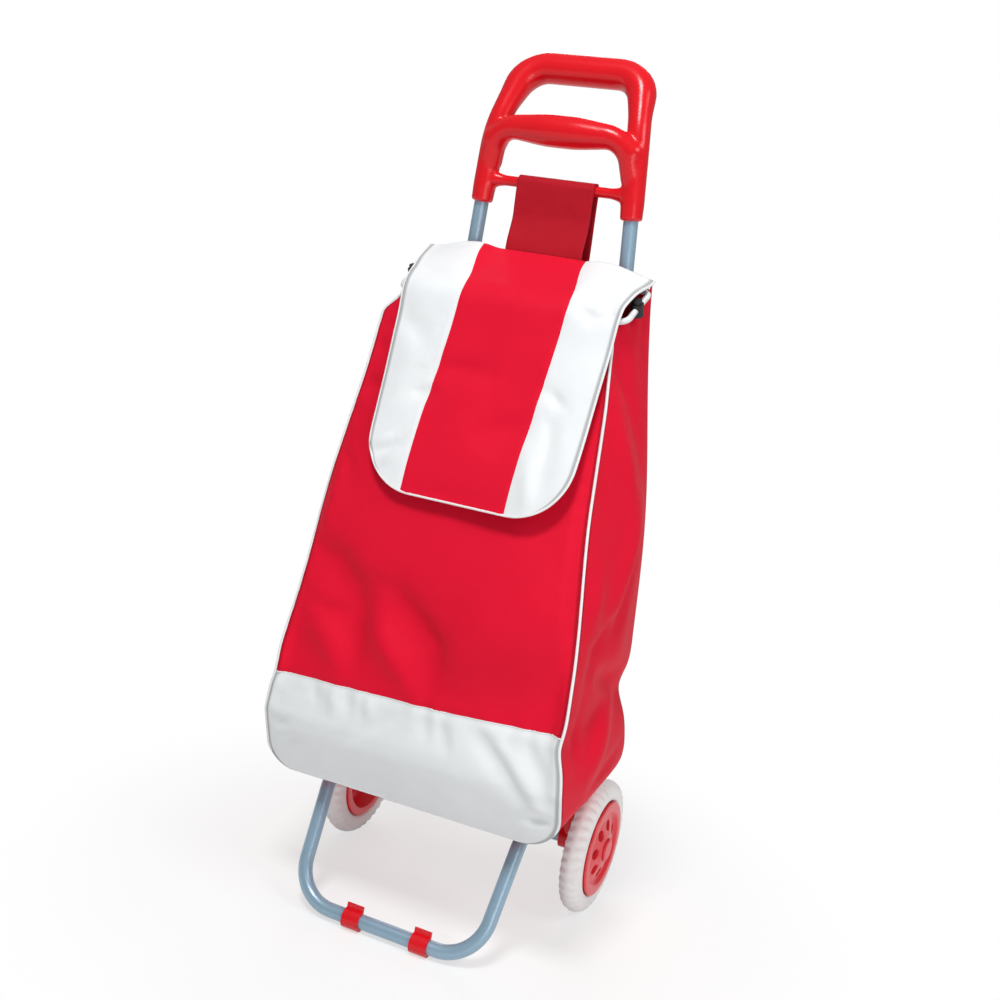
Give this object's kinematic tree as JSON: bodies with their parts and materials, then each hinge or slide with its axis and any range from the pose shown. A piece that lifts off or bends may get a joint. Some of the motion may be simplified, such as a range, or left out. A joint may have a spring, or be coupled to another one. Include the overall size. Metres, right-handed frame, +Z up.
{
  "type": "shopping trolley",
  "caption": "Upright shopping trolley: tapered cloth bag with flap lid on a tube frame with a looped handle, foam-tyred wheels and a bent tube foot.",
  "frame": {"origin": "on the floor, in the middle of the trolley's footprint", "axes": "+Z up, +Y from the front of the bag to its back, +X to the right of someone facing the front"},
  "size_m": [0.3546, 0.2948, 0.9488],
  "materials": {
    "red_plastic": "gloss",
    "tube_paint": "satin",
    "steel": "zinc plated",
    "tyre_foam": "matt foam",
    "red_cloth": "woven, slight sheen",
    "grey_cloth": "woven, slight sheen",
    "cream_cloth": "woven, slight sheen",
    "white_piping": "smooth",
    "white_cord": "braided",
    "base_board": "matt",
    "black_plastic": "matt"
  },
  "bodies": {
    "frame": {"handle": "red_plastic", "left_axle_bracket": "red_plastic", "right_axle_bracket": "red_plastic", "left_foot_clip": "red_plastic", "right_foot_clip": "red_plastic", "left_axle_cap": "red_plastic", "right_axle_cap": "red_plastic", "left_upright": "tube_paint", "right_upright": "tube_paint", "foot_tube": "tube_paint", "axle_tube": "tube_paint", "axle_rod": "steel", "axle_washers": "steel", "bracket_rivets": "steel", "handle_screws": "steel", "upper_front_panel": "red_cloth", "left_side_panel": "red_cloth", "right_side_panel": "red_cloth", "bottom_band": "red_cloth", "back_panel": "red_cloth", "strap_loop": "red_cloth", "front_hem": "red_cloth", "back_hem": "red_cloth", "lower_front_panel": "grey_cloth", "bag_piping": "white_piping", "drawstring": "white_cord", "base_board": "base_board"},
    "left_wheel": {"left_wheel_hub": "red_plastic", "left_tyre": "tyre_foam"},
    "right_wheel": {"right_wheel_hub": "red_plastic", "right_tyre": "tyre_foam"},
    "flap_top": {"flap_top_left_band": "cream_cloth", "flap_top_centre": "red_cloth", "flap_top_right_band": "cream_cloth", "flap_top_piping": "white_piping"},
    "flap_front": {"flap_front_left_band": "cream_cloth", "flap_front_centre": "red_cloth", "flap_front_right_band": "cream_cloth", "flap_front_piping": "white_piping"},
    "left_cord_lock": {"left_lock_barrel": "black_plastic"},
    "left_push_button": {"left_lock_button": "black_plastic"},
    "right_cord_lock": {"right_lock_barrel": "black_plastic"},
    "right_push_button": {"right_lock_button": "black_plastic"}
  },
  "joints": [
    {"name": "left_wheel_spin", "type": "hinge", "parent": "frame", "child": "left_wheel", "pos_m": [-0.154, 0.0699, 0.0775], "axis": [1, 0, 0], "continuous": true},
    {"name": "right_wheel_spin", "type": "hinge", "parent": "frame", "child": "right_wheel", "pos_m": [0.154, 0.0699, 0.0775], "axis": [1, 0, 0], "continuous": true},
    {"name": "flap_lift", "type": "hinge", "parent": "frame", "child": "flap_top", "pos_m": [0, 0.0511, 0.7325], "axis": [-1, 0, 0], "range_deg": [0, 90]},
    {"name": "flap_fold", "type": "hinge", "parent": "flap_top", "child": "flap_front", "pos_m": [0, -0.0271, 0.692], "axis": [-1, 0, 0], "range_deg": [0, 60]},
    {"name": "left_lock_slide", "type": "slide", "parent": "frame", "child": "left_cord_lock", "axis": [0, 0.9047, 0.426], "range_m": [-0.01, 0.016]},
    {"name": "left_button_press", "type": "slide", "parent": "left_cord_lock", "child": "left_push_button", "axis": [0, 0.426, -0.9047], "range_m": [0, 0.003], "stiffness_N_per_m": 400},
    {"name": "right_lock_slide", "type": "slide", "parent": "frame", "child": "right_cord_lock", "axis": [0, 0.9047, 0.426], "range_m": [-0.01, 0.016]},
    {"name": "right_button_press", "type": "slide", "parent": "right_cord_lock", "child": "right_push_button", "axis": [0, 0.426, -0.9047], "range_m": [0, 0.003], "stiffness_N_per_m": 400}
  ]
}
